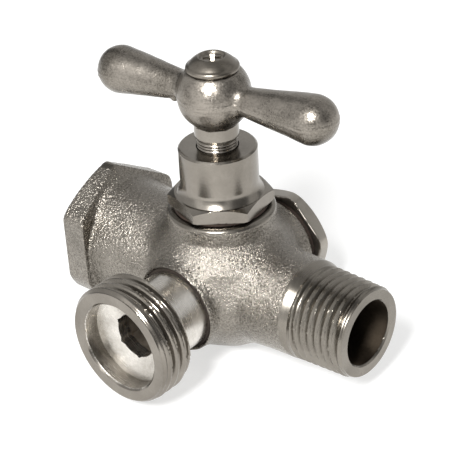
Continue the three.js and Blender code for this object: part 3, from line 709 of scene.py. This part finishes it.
def build_body_fittings():
    """The bonnet, the nipple, the plug and their seals."""
    low, high = (-12.4, -12.4, BONNET_LOW - 0.6), (12.4, 12.4, BONNET_TOP + 0.6)
    vertex, faces = contour(bonnet, low, high, STEP["bonnet"])
    mesh_object("bonnet_turned", vertex, faces, [TURNED_Z], "body", "bonnet")
    reach = HOSE_CREST_R + 0.6
    low, high = (-reach, HOSE_Y - 0.6, -reach), (reach, HOSE_END_Y + 0.6, reach)
    vertex, faces = contour(nipple, low, high, STEP["nipple"])

    def mouth_and_bore(centre):
        radius = np.hypot(centre[:, 0], centre[:, 2])
        deep = centre[:, 1] > -MOUTH_FLOOR + 4.5
        # Index 1 is the mouth's painted light, and index 2 the key hole's brass with its painted shade.
        return np.where(deep & (radius < KEY_DRILL_R + 0.8), 2, np.where(radius < MOUTH_R + 0.1, 1, 0))

    mesh_object("hose_nipple_turned", vertex, faces, [TURNED_Y, TURNED_IN_PAINTED_LIGHT, BROACHED_PAINTED_SHADE], "body",
                "hose_nipple", mouth_and_bore)
    reach = PLUG_ROUND_R + 0.6
    low, high = (-reach, PLUG_LOW - 0.6, -reach), (reach, PLUG_END + 0.6, reach)
    vertex, faces = contour(plug, low, high, STEP["plug"])
    mesh_object("rear_plug_turned", vertex, faces, [TURNED_PLUG_PAINTED_LIGHT], "body", "rear_plug")
    turned_ring("bonnet_gasket_ring", FIBRE, "z", BONNET_SOCKET_R, 10.4,
                BOSS_TOP + 0.1, BONNET_HEX[0] - 0.1, "bonnet_gasket")
    turned_ring("hose_nipple_seal_ring", RUBBER, "y", SHANK_R + 0.1, HOSE_PORT_R - 0.1,
                -HOSE_PORT + 0.5, -HOSE_PORT + 2.5, "hose_nipple_seal")
    turned_ring("rear_plug_gasket_ring", FIBRE, "y", REAR_BORE_R, 10.3,
                REAR_Y + 0.1, PLUG_HEAD - 0.1, "rear_plug_gasket")


def turned_ring(name, material, axis, inner, outer, start, end, node, edge=0.2, sides=96):
    """A flat ring with rounded edges."""
    def corner(r, along, turn):
        return [(r + edge * math.cos(a), along + edge * math.sin(a))
                for a in np.radians(np.linspace(turn, turn + 90, 4))]

    profile = (corner(outer - edge, end - edge, 0) + corner(inner + edge, end - edge, 90)
               + corner(inner + edge, start + edge, 180) + corner(outer - edge, start + edge, 270))
    count = len(profile)
    angle = np.arange(sides) * 2 * math.pi / sides
    radius, along = (np.array(c) for c in zip(*profile))
    u = np.outer(np.cos(angle), radius).ravel()
    v = np.outer(np.sin(angle), radius).ravel()
    w = np.tile(along, sides)
    vertex = np.stack([u, v, w] if axis == "z" else [u, w, -v], 1)
    i, j = np.meshgrid(np.arange(sides), np.arange(count), indexing="ij")
    i2, j2 = (i + 1) % sides, (j + 1) % count
    faces = np.stack([i * count + j, i2 * count + j, i2 * count + j2, i * count + j2], -1)
    mesh_object(name, vertex, faces.reshape(-1, 4), [material], "body", node)


# ---------------------------------------------------------------- handle, spindle and cap screw
def round_cone(along, side):
    """One arm of the lever: a cone that runs smoothly into the bulb at its end."""
    length = BULB_AT - ARM_AT
    lean = (BULB_R - ARM_R) / length
    flank = math.sqrt(1 - lean * lean)
    reach = (along - ARM_AT) * flank + side * lean
    cone = side * flank - (along - ARM_AT) * lean - ARM_R
    bulb = np.sqrt(side * side + (along - BULB_AT) ** 2) - BULB_R
    start = np.sqrt(side * side + (along - ARM_AT) ** 2) - ARM_R
    return np.where(reach > length * flank, bulb, np.where(reach < 0, start, cone))


def handle(x, y, z):
    """The lever: a ball hub with a skirt, two arms, a flat seat for the cap screw and a square hole."""
    c, s = math.cos(HANDLE_TURN), math.sin(HANDLE_TURN)
    u, v = x * c + y * s, y * c - x * s
    up = z - HUB_Z
    hub = np.sqrt(x * x + y * y + up * up) - HUB_R
    skirt = bored(np.sqrt(x * x + y * y), z, SKIRT_R, SKIRT_LOW, HUB_Z)
    skirt = blend_max(skirt, SKIRT_LOW - z, 0.4)
    whole = blend_min(hub, skirt, 0.4)
    whole = blend_min(whole, round_cone(np.abs(u), np.sqrt(v * v + up * up)), 1.8)
    whole = blend_max(whole, z - CAP_SEAT, 0.5)
    flash_u, flash_v, flash_up = FLASH_AT
    flash = np.sqrt((u - flash_u) ** 2 + (v - flash_v) ** 2 + (up - flash_up) ** 2) - FLASH_R
    whole = blend_min(whole, flash, 0.7)
    square = np.maximum(np.abs(u), np.abs(v)) - DRIVE_HOLE_HALF
    return np.maximum(whole, -square)


def cap_screw(x, y, z):
    """The screw on the hub: a low dome in a rolled lip, dished on top, with a cross recess."""
    radius = np.sqrt(x * x + y * y)
    rim = CAP_SEAT + 0.1
    up = z - rim
    centre = CAP_TOP - math.sqrt(CAP_DOME_R**2 - CAP_DISH_R**2)
    dome = np.sqrt(radius**2 + (z - centre) ** 2) - CAP_DOME_R
    lip = np.sqrt((radius - CAP_R + CAP_LIP_R) ** 2 + (up - CAP_LIP_R) ** 2) - CAP_LIP_R
    head = blend_min(np.maximum(dome, radius - CAP_R + 0.3), lip, 0.5)
    dish = np.maximum((radius - CAP_DISH_R + (CAP_TOP - z) * 0.8) * 0.75, CAP_TOP - 0.6 - z)
    head = blend_max(np.maximum(head, -up), -dish, 0.25)
    c, s = math.cos(HANDLE_TURN + CROSS_TURN), math.sin(HANDLE_TURN + CROSS_TURN)
    u, v = np.abs(x * c + y * s), np.abs(y * c - x * s)
    deep = np.maximum(CAP_TOP - 0.5 - z, 0)
    across = np.maximum(u - 2.0 + deep * 0.7, v - 0.65 + deep * 0.15)
    away = np.maximum(v - 2.1 + deep * 0.7, u - 0.6 + deep * 0.15)
    slot = np.minimum(across, away)
    head = np.maximum(head, -np.maximum(slot, CAP_TOP - 2.1 - z))
    shank = bored(radius, z, SCREW_SHANK_R, SCREW_LOW, rim + 0.5)
    return np.minimum(head, shank)


def build_turning_parts():
    """The lever with its cast roughness and parting seam, its cap screw and the spindle."""
    reach = BULB_AT + BULB_R + 0.8
    low, high = (-reach, -9.4, SKIRT_LOW - 0.8), (reach, 9.4, CAP_SEAT + 0.8)
    vertex, faces = contour(handle, low, high, STEP["handle"])
    normal = vertex_normals(vertex, faces)
    outside = np.hypot(vertex[:, 0], vertex[:, 1]) > SKIRT_R + 0.25
    swell = layered(vertex, ((0.06, 4.0, 11), (0.03, 1.7, 13), (0.012, 0.7, 15)))
    up = vertex[:, 2] - HUB_Z
    seam = np.exp(-(((up - 0.35) / 0.16) ** 2)) * (0.13 + 0.1 * noise(vertex, 1.1, 17))
    seam = seam + np.exp(-(((up + 0.55) / 0.18) ** 2)) * (0.08 + 0.08 * noise(vertex, 1.6, 19))
    vertex = vertex + normal * ((swell + seam) * outside)[:, None]
    skirt_low, skirt_top = SKIRT_LOW + 0.1, HUB_Z - math.sqrt(HUB_R**2 - SKIRT_R**2) - 0.1

    def polished(centre):
        round_r, height = np.hypot(centre[:, 0], centre[:, 1]), centre[:, 2]
        return (np.abs(round_r - SKIRT_R) < 0.12) & (height > skirt_low) & (height < skirt_top)

    mesh_object("lever_handle_casting", vertex, faces, [HANDLE, TURNED_Z], "turner",
                "handle", polished)
    low, high = (-6.2, -6.2, SCREW_LOW - 0.5), (6.2, 6.2, CAP_TOP + 0.5)
    vertex, faces = contour(cap_screw, low, high, STEP["cap_screw"])
    mesh_object("handle_cap_screw", vertex, faces, [TURNED_CAP_PAINTED_SHADE], "turner",
                "handle_screw")
    low, high = (-6.6, -6.6, SPINDLE_LOW - 0.5), (6.6, 6.6, SPINDLE_TOP + 0.5)
    vertex, faces = contour(spindle, low, high, STEP["spindle"])
    mesh_object("spindle_turned", vertex, faces, [TURNED_Z], "turner", "spindle")


def finish_inner_nodes():
    """The pieces inside the valve keep their CAD shape and get a material."""
    finishes = {
        "spindle_o_ring_lower": RUBBER,
        "spindle_o_ring_upper": RUBBER,
        "spindle_stop_washer": PLASTIC,
        "disc_holder": BRASS,
        "seat_washer": RUBBER,
        "washer_screw": BRASS,
    }
    for name, material in finishes.items():
        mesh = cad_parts[name].data
        mesh.materials.clear()
        mesh.materials.append(material)


# ---------------------------------------------------------------- camera, light and floor
# Azimuth runs from -Y towards +X, in degrees. The camera's shift moves it right and up, in millimetres.
CAMERA = {
    "azimuth": 42.385,
    "elevation": 30.439,
    "roll": -3.69,
    "distance": 357.233,
    "shift": (-0.229, 11.133),
}
FLOOR_Z, FLOOR_SIDE = -15.7, 6.0  # its height in millimetres, and half its width in metres
LAMP_TARGET = Vector((0, 0, 0.012))  # what the lamp faces, in metres
TENT_WALL, TENT_ROOF = 0.74, 0.4
ROOF_START, ROOF_FULL = 60, 74  # the elevations where the wall begins to darken into the roof, and ends
# Each panel or gap in the tent's wall: the azimuths where it starts and ends, and its brightness.
TENT_PATCHES = ((-124, -92, 0.18), (-34, -4, 1.4), (30, 54, 0.2), (66, 122, 0.22), (150, 170, 0.3))
PATCH_EDGE = 6  # the degrees over which a patch fades into the wall


def direction(azimuth, elevation):
    """The unit vector that points from the object to a place seen at that azimuth and elevation."""
    a, e = math.radians(azimuth), math.radians(elevation)
    return Vector((math.sin(a) * math.cos(e), -math.cos(a) * math.cos(e), math.sin(e)))


def add_camera():
    """The photograph's view."""
    a, roll = math.radians(CAMERA["azimuth"]), math.radians(CAMERA["roll"])
    back = direction(CAMERA["azimuth"], CAMERA["elevation"])
    right = Vector((math.cos(a), math.sin(a), 0))
    up = back.cross(right)
    c, s = math.cos(roll), math.sin(roll)
    right, up = right * c + up * s, up * c - right * s
    sideways, upwards = CAMERA["shift"]
    place = (right * sideways + up * upwards + back * CAMERA["distance"]) * MM
    data = bpy.data.cameras.new("camera")
    data.lens, data.sensor_width = 128.0, 36.0
    data.clip_start, data.clip_end = 0.01, 20
    made = bpy.data.objects.new("camera", data)
    bpy.context.scene.collection.objects.link(made)
    turn = Matrix((right, up, back)).transposed().to_4x4()
    made.matrix_world = Matrix.Translation(place) @ turn
    bpy.context.scene.camera = made


def add_lamp(name, azimuth, elevation, distance, size, power):
    """An upright oval softbox that faces the object."""
    data = bpy.data.lights.new(name, "AREA")
    data.shape, data.size, data.size_y = "ELLIPSE", size, size * 1.6
    data.energy = power
    made = bpy.data.objects.new(name, data)
    bpy.context.scene.collection.objects.link(made)
    away = direction(azimuth, elevation)
    made.location = LAMP_TARGET + away * distance
    made.rotation_mode = "QUATERNION"
    made.rotation_quaternion = away.to_track_quat("Z", "Y")


def add_floor():
    """A sheet of pale paper."""
    n = Nodes("floor_paper")
    mottle = n.noise(8, 3)
    color = n.tint(mottle, (0.44, 0.44, 0.438), (0.47, 0.47, 0.468), 0.3, 0.7)
    n.finish(color, n.spread(mottle, 0.7, 0.8), n.bump(mottle, 0.0001, 0.1), metallic=0.0)
    n.shader.inputs["Emission Color"].default_value = (1, 1, 0.995, 1)
    n.shader.inputs["Emission Strength"].default_value = 0.6  # a lit table, which softens the shadows
    mesh = bpy.data.meshes.new("floor")
    signs = ((-1, -1), (1, -1), (1, 1), (-1, 1))
    corners = [(u * FLOOR_SIDE, v * FLOOR_SIDE, FLOOR_Z * MM) for u, v in signs]
    mesh.from_pydata(corners, [], [(0, 1, 2, 3)])
    mesh.materials.append(n.material)
    floor = bpy.data.objects.new("floor", mesh)
    bpy.context.scene.collection.objects.link(floor)


def add_world():
    """A light tent: a pale wall with a bright panel and soft dark gaps, and a darker roof."""
    world = bpy.data.worlds.new("studio")
    world.use_nodes = True
    tree = world.node_tree
    link = tree.links.new
    place = tree.nodes.new("ShaderNodeTexCoord")
    split = tree.nodes.new("ShaderNodeSeparateXYZ")
    link(place.outputs["Generated"], split.inputs["Vector"])
    front = tree.nodes.new("ShaderNodeMath")
    front.operation = "MULTIPLY"
    front.inputs[1].default_value = -1.0
    link(split.outputs["Y"], front.inputs[0])
    around = tree.nodes.new("ShaderNodeMath")
    around.operation = "ARCTAN2"
    link(split.outputs["X"], around.inputs[0])
    link(front.outputs["Value"], around.inputs[1])
    turn = tree.nodes.new("ShaderNodeMapRange")
    turn.inputs["From Min"].default_value = -math.pi
    turn.inputs["From Max"].default_value = math.pi
    link(around.outputs["Value"], turn.inputs["Value"])
    walls = tree.nodes.new("ShaderNodeValToRGB")
    walls.color_ramp.elements.remove(walls.color_ramp.elements[1])
    walls.color_ramp.elements[0].position = 0.0
    walls.color_ramp.elements[0].color = (TENT_WALL,) * 3 + (1,)
    for start, end, level in TENT_PATCHES:
        stops = (
            (start, TENT_WALL),
            (start + PATCH_EDGE, level),
            (end - PATCH_EDGE, level),
            (end, TENT_WALL),
        )
        for azimuth, value in stops:
            stop = walls.color_ramp.elements.new((azimuth + 180) / 360)
            stop.color = (value,) * 3 + (1,)
    link(turn.outputs["Result"], walls.inputs["Fac"])
    height = tree.nodes.new("ShaderNodeMapRange")
    height.interpolation_type = "SMOOTHSTEP"
    height.inputs["From Min"].default_value = math.sin(math.radians(ROOF_START))
    height.inputs["From Max"].default_value = math.sin(math.radians(ROOF_FULL))
    link(split.outputs["Z"], height.inputs["Value"])
    mix = tree.nodes.new("ShaderNodeMix")
    mix.data_type = "RGBA"
    sockets = [s for s in mix.inputs if s.type == "RGBA"]
    sockets[1].default_value = (TENT_ROOF,) * 3 + (1,)
    link(height.outputs["Result"], mix.inputs["Factor"])
    link(walls.outputs["Color"], sockets[0])
    result = [s for s in mix.outputs if s.type == "RGBA"][0]
    link(result, tree.nodes["Background"].inputs["Color"])
    tree.nodes["Background"].inputs["Strength"].default_value = 1.0
    bpy.context.scene.world = world
    bpy.context.scene.view_settings.view_transform = "Standard"


build_valve_body()
build_body_fittings()
build_turning_parts()
finish_inner_nodes()
add_camera()
add_lamp("key", azimuth=24, elevation=42, distance=0.6, size=0.11, power=6.0)
add_floor()
add_world()
